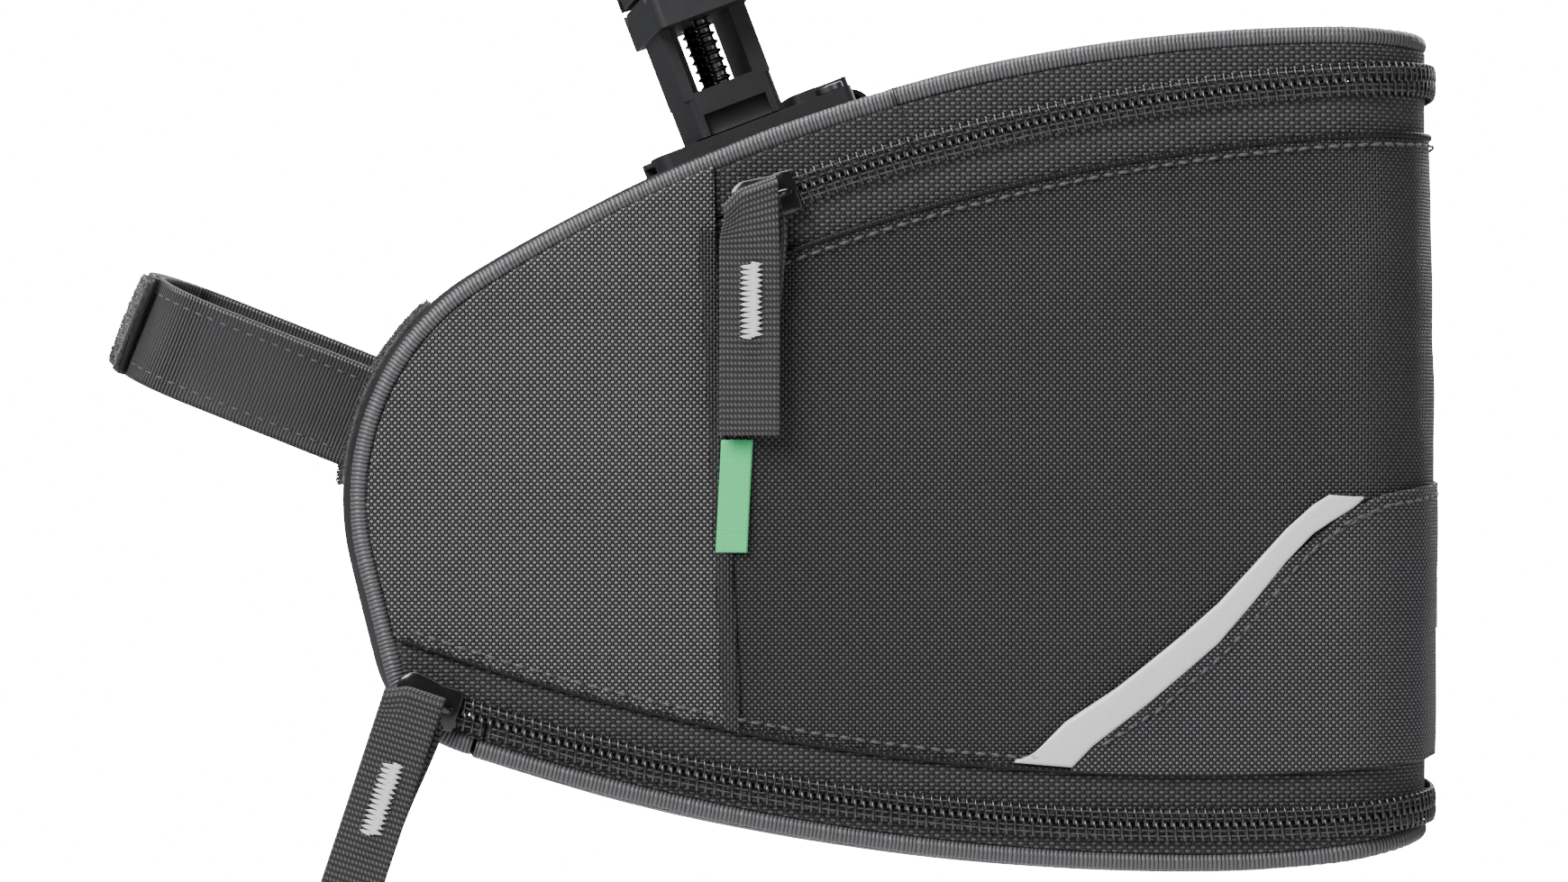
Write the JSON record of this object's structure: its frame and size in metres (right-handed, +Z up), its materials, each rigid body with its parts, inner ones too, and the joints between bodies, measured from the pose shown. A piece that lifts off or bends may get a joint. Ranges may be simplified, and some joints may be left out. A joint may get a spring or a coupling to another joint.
{
  "type": "bicycle saddle bag",
  "caption": "Wedge-shaped saddle bag with a zipped lid, an expanding zipped base, a hook-and-loop seatpost strap and a screw clamp for the saddle rails.",
  "frame": {"origin": "midway between the two saddle rails, at the height of their centres in the clamp", "axes": "+X to the rear of the bicycle, +Z up, -Y to the rider's left, where both zip pulls hang"},
  "size_m": [0.2629, 0.1048, 0.1972],
  "materials": {
    "moulded_black": "matt moulded",
    "screw_steel": "dark zinc",
    "washer_steel": "bright zinc",
    "coated_cloth": "smooth coated",
    "woven_cloth": "plain weave, padded",
    "zip_tape": "coarse woven",
    "zip_coil": "gloss",
    "zip_slider": "gloss die-cast",
    "webbing": "ribbed webbing",
    "strap_webbing": "smooth webbing",
    "hook_fuzz": "hook and loop",
    "white_thread": "thread",
    "reflective_tape": "silver reflective",
    "green_label": "woven label",
    "stiffener": "plain sheet"
  },
  "bodies": {
    "clamp": {"clamp_tower": "moulded_black", "lower_jaw": "moulded_black"},
    "jaw": {"upper_jaw": "moulded_black", "jaw_washers": "washer_steel"},
    "left_screw": {"screw_left": "screw_steel"},
    "right_screw": {"screw_right": "screw_steel"},
    "bag": {"base_socket": "moulded_black", "socket_screws": "screw_steel", "backing_plate": "stiffener", "release_tongue": "webbing", "spine_panel": "coated_cloth", "front_panel_left": "woven_cloth", "front_panel_right": "woven_cloth", "wrap_panel": "woven_cloth", "corner_patch": "woven_cloth", "reflector_left": "reflective_tape", "reflector_right": "reflective_tape", "reflector_rear": "reflective_tape", "side_label": "green_label", "light_loop": "webbing", "piping_left": "coated_cloth", "piping_right": "coated_cloth", "light_loop_bartacks": "white_thread", "main_tape_lower": "zip_tape", "main_coil_lower": "zip_coil", "main_tape_front": "zip_tape", "main_coil_front": "zip_coil", "base_tape_upper": "zip_tape", "base_coil_upper": "zip_coil", "base_tape_front": "zip_tape", "base_coil_front": "zip_coil", "strap_anchor": "hook_fuzz", "strap_inner": "strap_webbing", "strap_stub": "strap_webbing"},
    "strap_wing": {"strap_outer": "strap_webbing", "strap_hook_patch": "hook_fuzz"},
    "lid": {"lid_panel": "coated_cloth", "lid_tape": "zip_tape", "lid_coil": "zip_coil", "lid_piping": "coated_cloth"},
    "tray": {"tray_panel": "coated_cloth", "tray_tape": "zip_tape", "tray_coil": "zip_coil", "tray_piping": "coated_cloth", "tray_gusset": "woven_cloth", "tray_board": "stiffener"},
    "upper_slider": {"main_slider": "zip_slider"},
    "upper_tab": {"main_tab": "webbing", "main_tab_bartack": "white_thread"},
    "lower_slider": {"base_slider": "zip_slider"},
    "lower_tab": {"base_tab": "webbing", "base_tab_bartack": "white_thread"}
  },
  "joints": [
    {"name": "jaw_lift", "type": "slide", "parent": "clamp", "child": "jaw", "axis": [-0.3584, 0, 0.9336], "range_m": [0, 0.006]},
    {"name": "left_screw_turn", "type": "hinge", "parent": "jaw", "child": "left_screw", "pos_m": [0.00487, -0.0115, -0.0127], "axis": [-0.3584, 0, 0.9336], "range_deg": [0, 1205]},
    {"name": "right_screw_turn", "type": "hinge", "parent": "jaw", "child": "right_screw", "pos_m": [0.00487, 0.0115, -0.0127], "axis": [-0.3584, 0, 0.9336], "range_deg": [0, 1205]},
    {"name": "bag_release", "type": "slide", "parent": "clamp", "child": "bag", "axis": [0.9336, 0, 0.3584], "range_m": [0, 0.03]},
    {"name": "strap_peel", "type": "hinge", "parent": "bag", "child": "strap_wing", "pos_m": [-0.07042, 0.01661, -0.07997], "axis": [-0.3693, 0.1045, -0.9234], "range_deg": [0, 100]},
    {"name": "lid_hinge", "type": "hinge", "parent": "bag", "child": "lid", "pos_m": [0.03787, 0, -0.02274], "axis": [0, -1, 0], "range_deg": [0, 50]},
    {"name": "tray_hinge", "type": "hinge", "parent": "bag", "child": "tray", "pos_m": [-0.04213, 0, -0.15126], "axis": [0, 1, 0], "range_deg": [0, 8]},
    {"name": "upper_zip_travel", "type": "hinge", "parent": "bag", "child": "upper_slider", "pos_m": [0.14747, -0.05434, -0.41674], "axis": [0.1132, 0.9936, 0], "range_deg": [0, 14.3]},
    {"name": "upper_tab_swing", "type": "hinge", "parent": "upper_slider", "child": "upper_tab", "pos_m": [0.01253, -0.04379, -0.04449], "axis": [-0.933, 0.1063, -0.3437], "range_deg": [0, 150]},
    {"name": "lower_zip_travel", "type": "hinge", "parent": "bag", "child": "lower_slider", "pos_m": [0.09387, -0.04823, 0.30201], "axis": [-0.1132, -0.9936, 0], "range_deg": [0, 20.1]},
    {"name": "lower_tab_swing", "type": "hinge", "parent": "lower_slider", "child": "lower_tab", "pos_m": [-0.05167, -0.03648, -0.14051], "axis": [-0.9429, 0.1074, 0.3152], "range_deg": [0, 150]}
  ],
  "couplings": [
    {"joint": "left_screw_turn", "follows": "jaw_lift", "rad_per_m": 3490.7},
    {"joint": "right_screw_turn", "follows": "jaw_lift", "rad_per_m": 3490.7}
  ]
}
